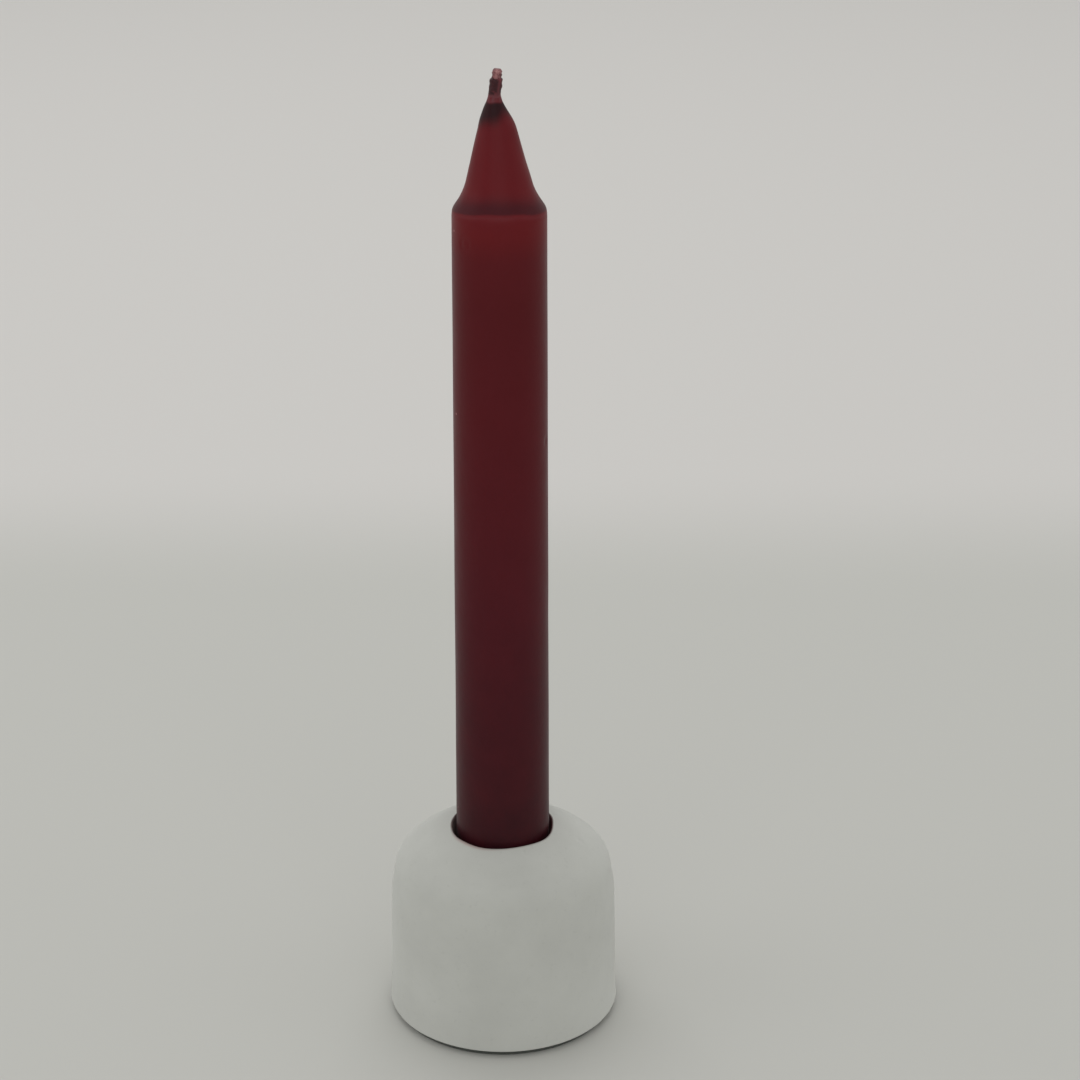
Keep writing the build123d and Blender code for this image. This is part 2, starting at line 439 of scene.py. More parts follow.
def makeCoat(shape):
    # The outline turned about the middle line, moved along its normals by ripples and by humps for the bead
    # and the marks. The inner wall is the same outline one coat thickness in, down to the open foot.
    outline = candleOutline(shape)
    normals = outwardOf(outline)
    angle = fullTurn(shape["around"])
    radius, height = outline[:, :1], outline[:, 1:]
    below = (topZ - height) / mm
    corner = shape["pointHeight"] / mm
    start, full = shape["socketFade"]
    onShaft = smoothStep(footZ + start, footZ + full, height)
    start, full = shape["wobbleFrom"]
    onPoint = smoothStep(corner + start, corner + full, below)
    share = shape["waveInSocket"]
    skin = shape["wave"] * ripples(angle, height, *shape["waveRipples"]) * (share + (1 - share) * onShaft)
    skin = skin + shape["runs"] * ripples(angle, height, *shape["runRipples"]) * onShaft
    skin = skin + shape["wobble"] * ripples(angle, height, *shape["wobbleRipples"]) * onPoint
    tall, above, wide = shape["bead"]
    skin = skin + tall * hump((below - corner + above) / wide)
    bearing, drop, wide, deep = shape["ringMark"]
    fromRing = spotAt(angle, height, radius, bearing, drop, wide) - 1
    skin = skin - deep * mm * hump(fromRing / shape["ringLine"])
    for bearing, drop, wide, deep in shape["dents"]:
        skin = skin - deep * mm * hump(spotAt(angle, height, radius, bearing, drop, wide))
    outerR = radius + skin * normals[:, :1]
    # what is on the foot stays on it, and nothing goes below it
    outerZ = np.maximum(height + skin * normals[:, 1:], footZ)
    outerZ = np.where(height <= footZ + shape["footLevel"], footZ, outerZ)
    # every second ring is enough inside, and nearest the foot the wall goes straight down
    inner = (outline - normals * coatThick)[::2]
    lowDown = outline[::2, 1] < footZ + coatThick
    inner[:, 1] = np.where(lowDown, outline[::2, 1], inner[:, 1])
    inner[:, 0] = np.where(lowDown, shape["footRadius"] - coatThick, np.maximum(inner[:, 0], shape["bore"]))
    inner[-1] = (shape["bore"], topZ)
    inner = inner[::-1]
    r = np.concatenate([outerR, inner[:, :1] + 0 * angle])
    z = np.concatenate([outerZ, inner[:, 1:] + 0 * angle])
    # painted shade: a band in the flare above the shoulder, and round the wick at the point
    raised, bend, wavy = shape["band"]
    bandEdge = corner - raised + bend * np.cos(2 * angle)
    bandEdge = bandEdge + wavy * ripples(angle, 0 * height, *shape["bandRipples"])
    above = bandEdge - below
    full, fade = shape["bandFade"]
    blur = shape["bandBlur"]
    paintedFlareShade = smoothStep(-blur, blur, above) * hump(np.maximum(0, above - full) / fade)
    # painted shade round the top of the point, reaching further down at -X
    near, further, wavy = shape["tipShade"]
    leftward = 0.5 - 0.5 * np.cos(angle)
    reach = near + further * leftward + wavy * ripples(angle, 0 * height, *shape["tipShadeRipples"])
    edge, wavy = shape["film"]
    filmEdge = edge + wavy * ripples(angle, 0 * height, *shape["filmRipples"])
    inward, outward = shape["tipShadeFade"]
    blur = shape["tipShadeBlur"]
    paintedTipShade = smoothStep(reach + outward, reach - inward, below)
    paintedTipShade = paintedTipShade * smoothStep(filmEdge - blur, filmEdge + blur, below)
    # a thin paler film where the wick leaves the wax, and a painted highlight line under the band of painted
    # shade
    mean, varies = shape["filmPatches"]
    patchy = mean + varies * ripples(angle, height, *shape["patchRipples"])
    away, wide, amount = shape["paintedHighlightLine"]
    blur = shape["filmBlur"]
    film = patchy * smoothStep(filmEdge + blur, filmEdge - blur, below)
    # the painted highlight line under the band, carried in the film field
    film = film + amount * hump((above + away) / wide)
    fields = {
        "paintedFlareShade": paintedFlareShade * shape["bandAmount"],
        "paintedTipShade": paintedTipShade * shape["tipShadeAmount"],
        "film": film,
        "drop": below,
    }
    inside = np.zeros((len(inner), shape["around"]))
    attributes = {label: np.concatenate([field + 0 * angle, inside]) for label, field in fields.items()}
    rings = placeRings(r, z, angle, *middleLine(z))
    return turnedPiece("candleCoat", rings, closeRows=True, attributes=attributes)


candleCoat = makeCoat(candleShape)
print("stage 4: coat dipped,", len(candleCoat.data.polygons), "faces")


# The core fills the coat, apart from the wick's bore.
coreShape = {
    "slack": 0.03 * mm,  # between the core and the coat
    "around": 128,
    "footRings": 26,
    "boreRings": 60,
    "trimPitch": 0.42 * mm,  # of the turning marks that trimming left on the foot
    "trimDepth": 0.05 * mm,
    "trimMargin": 1.0 * mm,  # where they fade out at the edge
    "trimWander": 2,  # how far they stray, in radians of the cosine
    "trimRipples": (41, 6, 3, 4 * mm),
    "boreFoot": 1.0 * mm,  # between the foot's face and the bore's lowest ring
}


def makeCore(shape, candle):
    # The candle's outline one coat thickness in, joined to the flat foot and to the bore. The foot's face
    # keeps shallow turning marks, a cosine of the radius.
    thick = coatThick + shape["slack"]
    outline = candleOutline(candle)
    side = outline - outwardOf(outline) * thick
    side = side[(side[:, 0] > candle["bore"]) & (outline[:, 1] > footZ + thick)][::2]
    faceRadius = candle["footRadius"] - thick
    across = np.linspace(candle["bore"], faceRadius, shape["footRings"])
    foot = np.stack([across, np.full_like(across, footZ)], axis=1)
    down = np.linspace(side[-1, 1], footZ + shape["boreFoot"], shape["boreRings"])[:, None]
    bore = np.concatenate([np.full_like(down, candle["bore"]), down], axis=1)
    outline = np.concatenate([foot, side, bore])
    angle = fullTurn(shape["around"])
    radius, height = outline[:, :1], outline[:, 1:]
    onFace = np.arange(len(outline))[:, None] < len(foot)
    onFace = onFace * smoothStep(faceRadius, faceRadius - shape["trimMargin"], radius)
    phase = radius / shape["trimPitch"] * 2 * np.pi
    phase = phase + shape["trimWander"] * ripples(angle, radius, *shape["trimRipples"])
    z = height + shape["trimDepth"] * (1 + np.cos(phase)) * onFace
    rings = placeRings(radius, z, angle, *middleLine(z))
    return turnedPiece("pressedCore", rings, closeRows=True)


pressedCore = makeCore(coreShape, candleShape)
print("stage 5: core pressed,", len(pressedCore.data.polygons), "faces")


# The wick is three plaited strands of three yarns round a filler of wax-soaked thread.
wickShape = {
    "lowGap": 0.02 * mm,  # from the cord's ends to the ends of the yarns' middle lines
    "highGap": 0.15 * mm,
    "sway": (0.61 * mm, 0.55 * mm),  # of a strand, across and deep
    "plaitPitch": 3.1 * mm,
    "yarnOffset": 0.12 * mm,
    "yarnRadius": 0.34 * mm,
    "yarnTwistPitch": 2.2 * mm,
    "fillerRadius": 1.0 * mm,
    "rings": 520,
    "sides": (12, 20, 4),  # of a yarn, the filler and a fibre
    "endShare": (0.75, 0.85),  # of the radius that is left at the end of a yarn and of the filler
    "endOver": 0.15 * mm,
    "cutOver": 2.0 * mm,  # below the cut, where the yarns start to follow it
    "cutSlope": 0.13,
    "cutStart": 1.0 * mm,  # how far to -X of the middle the slope starts
    "cutRound": 0.25,  # how far the wax pulls the cut down at its edge, as a share of the radius squared
    "splay": 0.15,  # how much wider the snipped end has opened across
    "splayOver": (3.6 * mm, 2.0 * mm),  # where that starts and ends, below the cut
    "paleWidth": 0.85 * mm,
    "wornFrom": (2.6, 1.8),  # below the cut, where the worn end starts and is full, mm
    # distance below the cut and half width of the painted highlight band, mm, and the amount there and
    # elsewhere
    "paintedHighlightBand": (0.75, 0.5, 0.6, 0.4),
    "fibres": 26,
    "fibreSeed": 51,
    "fibrePoints": 7,
    "fibreRadius": 0.016 * mm,  # drawn a little thick, so that it shows
    "fibreSpread": 0.7 * mm,  # from the middle
    "fibreStray": 0.05 * mm,
    "fibreCurl": 1.6,  # the power of the way up by which it strays
    "fibreRoot": 0.5 * mm,  # below the cut
    "fibreRise": (0.4 * mm, 0.2 * mm),  # the least, and how much more
    "fibreTip": 0.5,  # share of its radius
}


def cordPoints(paths, radii, sides):
    # A tube round each path: at each point a circle across the path, from the path's direction and
    # two vectors square to it. paths[cord, point], radii[cord, point].
    along = np.gradient(paths, axis=1)
    along /= np.linalg.norm(along, axis=-1, keepdims=True)
    side = np.cross(along, np.array([0.0, 1.0, 0.0]))
    side /= np.linalg.norm(side, axis=-1, keepdims=True)
    other = np.cross(along, side)
    turn = np.linspace(0, 2 * np.pi, sides, endpoint=False)
    ring = side[:, :, None] * np.cos(turn)[:, None] + other[:, :, None] * np.sin(turn)[:, None]
    return paths[:, :, None] + ring * radii[:, :, None, None]


def cordPiece(name, bundles):
    # Every cord of every bundle of paths, radii and sides, as one closed tube each.
    points, faces, start = [], [], 0
    for paths, radii, sides in bundles:
        tubes = cordPoints(paths, radii, sides)
        cords, rows = paths.shape[:2]
        for i in range(cords):
            points += [tubes[i].reshape(-1, 3), paths[i, :1], paths[i, -1:]]
            faces += ringFaces(rows, sides, False, start)
            faces += capFaces(rows, sides, start + rows * sides, start + rows * sides + 1, start)
            start += rows * sides + 2
    points = np.concatenate(points)
    # the snipped end is paler across the middle of its faces: bare where the dye has worn off, and a painted
    # highlight, strongest in one band
    sideways = (points[:, 0] - middleLine(points[:, 2])[0]) / wickShape["paleWidth"]
    below = (wickHigh.z - points[:, 2]) / mm
    drop, wide, inBand, elsewhere = wickShape["paintedHighlightBand"]
    worn = inBand * hump((below - drop) / wide) + elsewhere * smoothStep(*wickShape["wornFrom"], below)
    return putMesh(name, points, faces, {"worn": worn * hump(sideways)})


def makeWick(shape):
    # A strand runs along a figure of eight, sin t across and sin 2t deep, that climbs evenly, and three
    # strands follow it a third of a turn apart. A yarn circles its strand at its own pitch. Fibres stray
    # from the end by a power of the way up. The snipped end opens a little, slopes down to +X by the
    # distance, and rounds down at its edge by the square of the distance from the middle.
    low, high = wickLow.z + shape["lowGap"], wickHigh.z - shape["highGap"]
    z = np.linspace(low, high, shape["rings"])
    third = np.arange(3)[:, None] / 3
    plait = 2 * np.pi * (z / shape["plaitPitch"] + third)[:, None]
    twist = 2 * np.pi * (z / shape["yarnTwistPitch"] + third)[None]
    x = shape["sway"][0] * np.sin(plait) + shape["yarnOffset"] * np.cos(twist)
    y = shape["sway"][1] * np.sin(2 * plait) + shape["yarnOffset"] * np.sin(twist)
    yarns = np.stack([x, y, z + 0 * x], axis=-1).reshape(9, -1, 3)
    filler = np.stack([0 * z, 0 * z, z], axis=1)[None]
    draw = np.random.default_rng(shape["fibreSeed"])
    step = np.linspace(0, 1, shape["fibrePoints"])[None, :, None]
    starts = draw.uniform(-1, 1, (shape["fibres"], 1, 2)) * shape["fibreSpread"]
    stray = starts + draw.normal(size=starts.shape) * shape["fibreStray"] * step ** shape["fibreCurl"]
    least, more = shape["fibreRise"]
    rise = high - shape["fibreRoot"] + (least + draw.uniform(0, more, (shape["fibres"], 1, 1))) * step
    fibres = np.concatenate([stray, rise], axis=2)
    for group in (yarns, filler, fibres):
        leanX, leanY = middleLine(group[..., 2])
        nearCut = smoothStep(high - shape["cutOver"], high, group[..., 2])
        start, full = shape["splayOver"]
        opened = smoothStep(high - start, high - full, group[..., 2])
        slope = shape["cutSlope"] * (group[..., 0] + shape["cutStart"])
        edge = shape["cutRound"] * (group[..., 0] ** 2 + group[..., 1] ** 2) / mm
        group[..., 2] -= nearCut * (slope + edge)
        group[..., 0] = group[..., 0] * (1 + shape["splay"] * opened) + leanX
        group[..., 1] += leanY
    full = smoothStep(0, shape["endOver"], high - z)
    yarnEnd, fillerEnd = shape["endShare"]
    yarnRadii = np.full(yarns.shape[:2], shape["yarnRadius"]) * (yarnEnd + (1 - yarnEnd) * full)
    fillerRadii = np.full(filler.shape[:2], shape["fillerRadius"]) * (fillerEnd + (1 - fillerEnd) * full)
    taper = np.linspace(1, shape["fibreTip"], shape["fibrePoints"])
    fibreRadii = np.full(fibres.shape[:2], shape["fibreRadius"]) * taper
    groups = zip((yarns, filler, fibres), (yarnRadii, fillerRadii, fibreRadii), shape["sides"])
    return cordPiece("braidedWick", groups)


braidedWick = makeWick(wickShape)
print("stage 6: wick plaited,", len(braidedWick.data.polygons), "faces")


# The collar is lumpy wax that shows the plait under it and runs into the point below.
collarShape = {
    "around": 96,
    "rows": 100,
    "innerRows": 30,
    "innerRadius": 0.85 * mm,
    "sunk": 0.45 * mm,  # how far it starts down inside the point
    "flare": (0.12 * mm, 0.55 * mm),  # widening at its foot, and how far above the point that ends
    "lump": 0.07 * mm,
    "lumpRipples": (61, 18, 5, 1.7 * mm),
    # shares of a lump: the ripples, the plait that shows through, and a step in to stay slim
    "lumpMix": (0.9, 0.35, 0.6),
    "lumpTurn": 0.7,  # half width of each single lump round the collar, in radians
    # the next four are from and to, as shares of the way up
    "lumpOver": (0.05, 0.25),  # lumps set in
    "raggedOver": (0.5, 1.0),  # the top's ragged edge sets in
    "closingOver": (0.9, 1.0),  # the top closes in
    "streakOver": (0.95, 0.75),  # the thin streak sets in, from the top down
    "ragged": 0.22 * mm,
    "raggedRipples": (62, 7, 5, 1),
    "closing": 0.34 * mm,  # how far it closes in on the wick at its top
    "innerTop": 0.3 * mm,  # how far under the top the inner wall ends
    # bearing, distance below the collar's top, height of the lump and its size, degrees and mm
    "lumps": ((180, 0.7, 0.14, 0.55), (0, 2.0, 0.14, 0.55), (215, 2.4, 0.06, 0.8)),
    "filmTop": (0.45, 0.25),  # how far up the point's pale film reaches, and its waviness, mm
    "filmRipples": (63, 8, 7, 1),
    "filmBlur": 0.35,  # how far its edge blurs each way, mm
    "streak": (304, 14, 0.8),  # bearing, half width and amount of a thin place, degrees
}


def makeCollar(shape):
    # A tube round the middle line whose radius is a constant plus ripples, the plait's sine and a hump for
    # each lump. It closes in at the top, and at its foot it widens by the square of the way down to flow
    # into the point.
    low, high = topZ - shape["sunk"], collarHigh.z
    s = np.linspace(0, 1, shape["rows"])[:, None]
    angle = fullTurn(shape["around"])
    z = low + (high - low) * s
    plait = np.sin(4 * np.pi * z / wickShape["plaitPitch"] + 2 * angle)
    rippled, plaited, slim = shape["lumpMix"]
    uneven = rippled * ripples(angle, z, *shape["lumpRipples"]) + plaited * plait - slim
    uneven = uneven * shape["lump"]
    for bearing, below, tall, wide in shape["lumps"]:
        away = (z - high + below * mm) / (wide * mm)
        uneven = uneven + tall * mm * hump(away) * hump(turnFrom(angle, bearing) / shape["lumpTurn"])
    wider, up = shape["flare"]
    flare = wider * np.maximum(0, (topZ + up - z) / (up + shape["sunk"])) ** 2
    outer = collarHigh.x + flare + uneven * smoothStep(*shape["lumpOver"], s)
    outer = outer - shape["closing"] * smoothStep(*shape["closingOver"], s)
    ragged = shape["ragged"] * ripples(angle, 0 * z, *shape["raggedRipples"])
    z = z + 0 * angle - ragged * smoothStep(*shape["raggedOver"], s)
    inward = np.linspace(high - shape["innerTop"], low, shape["innerRows"])[:, None] + 0 * angle
    r = np.concatenate([outer, np.full(inward.shape, shape["innerRadius"])])
    # the wax is thin and pale where the point's film climbs onto it and along one streak
    climb, wavy = shape["filmTop"]
    filmTop = climb + wavy * ripples(angle, 0 * z, *shape["filmRipples"])
    blur = shape["filmBlur"]
    thin = smoothStep(filmTop + blur, filmTop - blur, (z - topZ) / mm)
    bearing, wide, amount = shape["streak"]
    streak = amount * hump(turnFrom(angle, bearing) / math.radians(wide))
    streak = streak * smoothStep(*shape["streakOver"], s)
    thin = np.concatenate([np.maximum(thin, streak), 0 * inward])
    z = np.concatenate([z, inward])
    rings = placeRings(r, z, angle, *middleLine(z))
    return turnedPiece("wickCollar", rings, closeRows=True, attributes={"thin": thin})


wickCollar = makeCollar(collarShape)
print("stage 7: collar set,", len(wickCollar.data.polygons), "faces")


def linear(hexColour):
    # sRGB hex to the linear values that a shader works in.
    s = np.array([int(hexColour[i : i + 2], 16) for i in (1, 3, 5)]) / 255
    return (*np.where(s <= 0.04045, s / 12.92, ((s + 0.055) / 1.055) ** 2.4).tolist(), 1.0)


def addNode(tree, kind, inputs=None, **settings):
    # One node with its settings; an input is a value or another node's output to link.
    node = tree.nodes.new(kind)
    for key, value in settings.items():
        setattr(node, key, value)
    for socket, value in (inputs or {}).items():
        if isinstance(value, bpy.types.NodeSocket):
            tree.links.new(value, node.inputs[socket])
        else:
            node.inputs[socket].default_value = value
    return node


def newFinish(name, surface):
    # A material whose shader has the values that hold all over the surface set on its own sockets.
    finish = bpy.data.materials.new(name)
    finish.use_nodes = True
    tree = finish.node_tree
    shader = tree.nodes["Principled BSDF"]
    for socket, value in surface.items():
        shader.inputs[socket].default_value = value
    return finish, tree, shader, addNode(tree, "ShaderNodeTexCoord").outputs["Object"]


# In a Mix node of colours, input 0 is the amount, 6 and 7 are the two colours, and output 2 is the result.
# Under "surface" in each dictionary are the values that hold all over, by the shader's own names.

plasterFinish = {
    "pale": "#C9CAC5",
    "paler": "#D1D2CD",
    "bloom": "#B3B4AE",
    # the dark red of the painted shade inside the socket
    "socketShadeColour": "#4A1519",
    "smear": "#9A5A56",
    "cloud": 18 * mm,  # where it dried unevenly
    "fleck": 1.1 * mm,
    "grain": 0.6 * mm,  # gypsum is finer than this; drawn as coarse as it needs to show
    "pinholes": 3.2 * mm,  # mean distance apart
    "surface": {
        "IOR": 1.52,
        "Specular IOR Level": 0.1,
        "Diffuse Roughness": 1.0,
        "Sheen Weight": 0.02,
        "Sheen Roughness": 0.5,
    },
}


def castPlaster(look):
    # Fine gypsum plaster cast in a smooth mould: chalky white, nearly no gloss, faint cloudy patches and
    # pinholes from air, with a slightly greyer bloom where it dried last, and painted shade in the socket.
    finish, tree, shader, place = newFinish("CastPlaster", look["surface"])
    clouds = addNode(
        tree, "ShaderNodeTexNoise",
        {"Vector": place, "Scale": 1 / look["cloud"], "Detail": 4.0, "Roughness": 0.55},
    )
    cloudy = addNode(
        tree, "ShaderNodeMapRange", {"Value": clouds.outputs["Fac"], "From Min": 0.3, "From Max": 0.7}
    )
    body = addNode(
        tree, "ShaderNodeMix",
        {0: cloudy.outputs["Result"], 6: linear(look["pale"]), 7: linear(look["paler"])}, data_type="RGBA",
    )
    flecks = addNode(tree, "ShaderNodeTexNoise", {"Vector": place, "Scale": 1 / look["fleck"], "Detail": 2.0})
    bloom = addNode(
        tree, "ShaderNodeMapRange",
        {"Value": flecks.outputs["Fac"], "From Min": 0.62, "From Max": 0.78, "To Min": 0.0, "To Max": 0.2},
    )
    colour = body.outputs[2]
    # painted shade darkens the socket below the lip; the smear is red wax on the lip
    paintedSocketShade = addNode(tree, "ShaderNodeAttribute", attribute_name="paintedSocketShade")
    smeared = addNode(tree, "ShaderNodeAttribute", attribute_name="smeared")
    layers = (
        (bloom.outputs["Result"], look["bloom"]),
        (smeared.outputs["Fac"], look["smear"]),
        (paintedSocketShade.outputs["Fac"], look["socketShadeColour"]),
    )
    for amount, hexColour in layers:
        layer = addNode(tree, "ShaderNodeMix", {0: amount, 6: colour, 7: linear(hexColour)}, data_type="RGBA")
        colour = layer.outputs[2]
    tree.links.new(colour, shader.inputs["Base Color"])
    grain = addNode(
        tree, "ShaderNodeTexNoise",
        {"Vector": place, "Scale": 1 / look["grain"], "Detail": 3.0, "Roughness": 0.6},
    )
    pinholes = addNode(
        tree, "ShaderNodeTexVoronoi", {"Vector": place, "Scale": 1 / look["pinholes"]}, feature="F1"
    )
    holes = addNode(
        tree, "ShaderNodeMapRange",
        {"Value": pinholes.outputs["Distance"], "From Min": 0.03, "From Max": 0.1},
    )
    bumpHoles = addNode(
        tree, "ShaderNodeBump", {"Height": holes.outputs["Result"], "Strength": 0.15, "Distance": 0.1 * mm}
    )
    bump = addNode(
        tree, "ShaderNodeBump",
        {
            "Height": grain.outputs["Fac"],
            "Strength": 0.3,
            "Distance": 0.06 * mm,
            "Normal": bumpHoles.outputs["Normal"],
        },
    )
    tree.links.new(bump.outputs["Normal"], shader.inputs["Normal"])
    rough = addNode(
        tree, "ShaderNodeMapRange", {"Value": grain.outputs["Fac"], "To Min": 0.78, "To Max": 0.95}
    )
    tree.links.new(rough.outputs["Result"], shader.inputs["Roughness"])
    return finish


feltFinish = {
    "dark": "#2C302D",
    "pale": "#62665F",
    "fibre": 0.7 * mm,
    "surface": {"Roughness": 0.95, "Sheen Weight": 0.25, "Sheen Roughness": 0.5},
}


def pressedFelt(look):
    # Needled wool felt, charcoal: no gloss, a tangle of fine paler fibres.
    finish, tree, shader, place = newFinish("PressedFelt", look["surface"])
    tangle = addNode(
        tree, "ShaderNodeTexNoise",
        {"Vector": place, "Scale": 1 / look["fibre"], "Detail": 6.0, "Roughness": 0.7, "Distortion": 1.6},
    )
    colour = addNode(
        tree, "ShaderNodeMix",
        {0: tangle.outputs["Fac"], 6: linear(look["dark"]), 7: linear(look["pale"])}, data_type="RGBA",
    )
    tree.links.new(colour.outputs[2], shader.inputs["Base Color"])
    bump = addNode(
        tree, "ShaderNodeBump", {"Height": tangle.outputs["Fac"], "Strength": 0.8, "Distance": 0.3 * mm}
    )
    tree.links.new(bump.outputs["Normal"], shader.inputs["Normal"])
    return finish


dippedFinish = {
    # mm below the top of the wax, and the colour there: the red dye with painted light, brightest on the
    # point, and painted shade that deepens towards the foot
    "dyeLightAndShade": (
        (0, "#691A20"),
        (23, "#6D191F"),
        (28, "#6C191E"),
        (34, "#5E171D"),
        (45, "#58151B"),
        (68, "#59151C"),
        (92, "#55151D"),
        (116, "#4F151E"),
        (141, "#45141C"),
        (161, "#41141B"),
        (174, "#331319"),
        (200, "#2A1116"),
    ),
    "mottle": ("#5E1A22", 9 * mm, 0.2),
    # the dark red of the painted shade in the flare above the shoulder
    "paintedFlareShade": "#3E141C",
    # the pale film at the wick, also the colour of the painted highlight line under the flare
    "film": "#6E3A40",
    # the near black red of the painted shade at the point
    "paintedTipShade": "#231014",
    "speck": ("#B07A7C", 11 * mm, 0.2 * mm),  # colour, mean distance apart, radius
    "ripple": 3.5 * mm,
    "fine": 0.5 * mm,
    "surface": {
        "IOR": 1.44,
        "Specular IOR Level": 0.16,
        "Subsurface Weight": 0.2,
        "Subsurface Radius": (1.0, 0.25, 0.2),
        "Subsurface Scale": 1.2 * mm,
        "Sheen Weight": 0.03,
        "Sheen Roughness": 0.3,
    },
}


def dippedWax(look):
    # Paraffin wax dipped in red dye: a deep translucent red with a satin skin and a faint grey bloom, with a
    # few pale flecks of dust. Painted light brightens the point; painted shade deepens towards the foot, lies
    # in a band in the flare above the shoulder and round the wick, and a painted highlight line runs under
    # that band.
    finish, tree, shader, place = newFinish("DippedWax", look["surface"])
    field = {
        label: addNode(tree, "ShaderNodeAttribute", attribute_name=label).outputs["Fac"]
        for label in ("drop", "paintedFlareShade", "paintedTipShade", "film")
    }
    # the ramp holds the red dye with painted light on the point and painted shade towards the foot
    length = look["dyeLightAndShade"][-1][0]
    along = addNode(tree, "ShaderNodeMapRange", {"Value": field["drop"], "From Min": 0.0, "From Max": length})
    dyeLightAndShade = addNode(tree, "ShaderNodeValToRGB", {"Fac": along.outputs["Result"]})
    for drop, _ in look["dyeLightAndShade"][1:-1]:
        dyeLightAndShade.color_ramp.elements.new(drop / length)
    for element, (drop, hexColour) in zip(dyeLightAndShade.color_ramp.elements, look["dyeLightAndShade"]):
        element.position = drop / length
        element.color = linear(hexColour)
    mottleColour, mottleSize, mottleAmount = look["mottle"]
    mottle = addNode(
        tree, "ShaderNodeTexNoise",
        {"Vector": place, "Scale": 1 / mottleSize, "Detail": 5.0, "Roughness": 0.6},
    )
    patchy = addNode(
        tree, "ShaderNodeMapRange",
        {
            "Value": mottle.outputs["Fac"],
            "From Min": 0.35,
            "From Max": 0.65,
            "To Min": 0.0,
            "To Max": mottleAmount,
        },
    )
    speckColour, speckApart, speckRadius = look["speck"]
    specks = addNode(tree, "ShaderNodeTexVoronoi", {"Vector": place, "Scale": 1 / speckApart}, feature="F1")
    speck = addNode(
        tree, "ShaderNodeMapRange",
        {
            "Value": specks.outputs["Distance"],
            "From Min": speckRadius / speckApart,
            "From Max": 1.5 * speckRadius / speckApart,
            "To Min": 0.8,
            "To Max": 0.0,
        },
    )
    colour = dyeLightAndShade.outputs["Color"]
    layers = (
        (patchy.outputs["Result"], mottleColour),
        (field["paintedFlareShade"], look["paintedFlareShade"]),
        (field["film"], look["film"]),
        (field["paintedTipShade"], look["paintedTipShade"]),
        (speck.outputs["Result"], speckColour),
    )
    for amount, hexColour in layers:
        layer = addNode(tree, "ShaderNodeMix", {0: amount, 6: colour, 7: linear(hexColour)}, data_type="RGBA")
        colour = layer.outputs[2]
    tree.links.new(colour, shader.inputs["Base Color"])
    ripple = addNode(
        tree, "ShaderNodeTexNoise", {"Vector": place, "Scale": 1 / look["ripple"], "Detail": 3.0}
    )
    fine = addNode(tree, "ShaderNodeTexNoise", {"Vector": place, "Scale": 1 / look["fine"], "Detail": 2.0})
    bumpFine = addNode(
        tree, "ShaderNodeBump", {"Height": fine.outputs["Fac"], "Strength": 0.25, "Distance": 0.03 * mm}
    )
    bump = addNode(
        tree, "ShaderNodeBump",
        {
            "Height": ripple.outputs["Fac"],
            "Strength": 0.35,
            "Distance": 0.2 * mm,
            "Normal": bumpFine.outputs["Normal"],
        },
    )
    tree.links.new(bump.outputs["Normal"], shader.inputs["Normal"])
    rough = addNode(
        tree, "ShaderNodeMapRange", {"Value": mottle.outputs["Fac"], "To Min": 0.34, "To Max": 0.5}
    )
    tree.links.new(rough.outputs["Result"], shader.inputs["Roughness"])
    return finish


collarFinish = {
    "thick": "#3D1A1F",
    "worn": "#7A3A40",
    "thin": "#6D353B",
    "patch": 1.3 * mm,
    "surface": {
        "Roughness": 0.42,
        "IOR": 1.44,
        "Specular IOR Level": 0.3,
        "Subsurface Weight": 0.2,
        "Subsurface Radius": (1.0, 0.25, 0.2),
        "Subsurface Scale": 0.6 * mm,
    },
}


def collarWax(look):
    # The same dyed wax, thick and dark in the hollows of the plait and paler where it is worn thin.
    finish, tree, shader, place = newFinish("CollarWax", look["surface"])
    patch = addNode(tree, "ShaderNodeTexNoise", {"Vector": place, "Scale": 1 / look["patch"], "Detail": 3.0})
    worn = addNode(
        tree, "ShaderNodeMapRange", {"Value": patch.outputs["Fac"], "From Min": 0.48, "From Max": 0.75}
    )
    colour = addNode(
        tree, "ShaderNodeMix",
        {0: worn.outputs["Result"], 6: linear(look["thick"]), 7: linear(look["worn"])}, data_type="RGBA",
    )
    thin = addNode(tree, "ShaderNodeAttribute", attribute_name="thin")
    colour = addNode(
        tree, "ShaderNodeMix",
        {0: thin.outputs["Fac"], 6: colour.outputs[2], 7: linear(look["thin"])}, data_type="RGBA",
    )
    tree.links.new(colour.outputs[2], shader.inputs["Base Color"])
    bump = addNode(
        tree, "ShaderNodeBump", {"Height": patch.outputs["Fac"], "Strength": 0.4, "Distance": 0.1 * mm}
    )
    tree.links.new(bump.outputs["Normal"], shader.inputs["Normal"])
    return finish


coreFinish = {
    "pale": "#EFE6D4",
    "shade": "#DCD0B8",
    "granule": 1.2 * mm,
    "surface": {
        "Roughness": 0.5,
        "IOR": 1.44,
        "Subsurface Weight": 0.5,
        "Subsurface Radius": (1.0, 0.8, 0.6),
        "Subsurface Scale": 2.0 * mm,
    },
}


